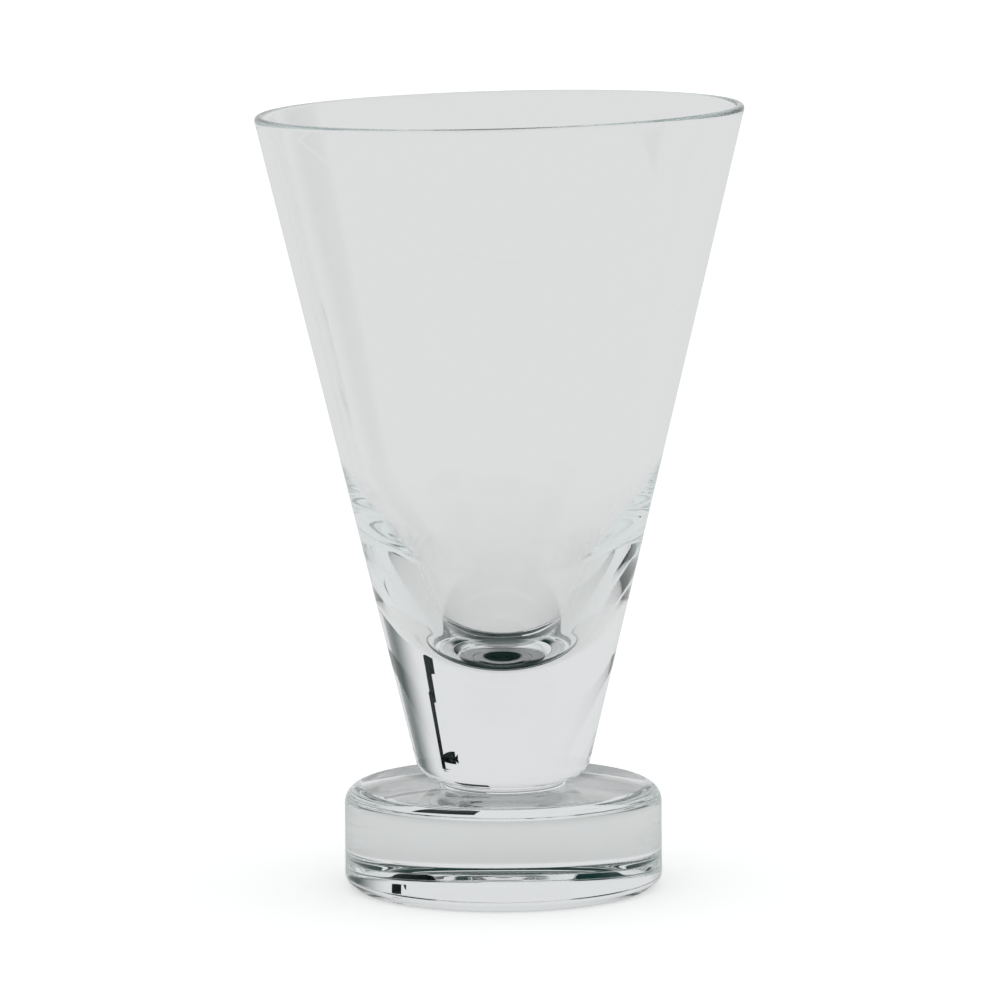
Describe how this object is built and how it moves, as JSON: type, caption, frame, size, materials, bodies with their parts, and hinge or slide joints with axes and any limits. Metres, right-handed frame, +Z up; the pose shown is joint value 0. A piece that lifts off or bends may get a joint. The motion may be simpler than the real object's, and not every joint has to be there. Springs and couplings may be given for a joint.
{
  "type": "port glass",
  "caption": "Port glass with a straight conical blown bowl on a solid base, fused by a thin wafer of glass to a thick round disc foot.",
  "frame": {"origin": "centre of the foot's underside, on the surface that the glass stands on", "axes": "+Z up along the glass's axis, from the foot to the rim; +X towards the slightly higher side of the rim"},
  "size_m": [0.0654, 0.0654, 0.1057],
  "materials": {
    "clear_glass": "fire-polished clear soda-lime glass with a faint green tint in the thick parts"
  },
  "bodies": {
    "root": {"bowl": "clear_glass", "neck_wafer": "clear_glass", "foot": "clear_glass"}
  },
  "joints": []
}
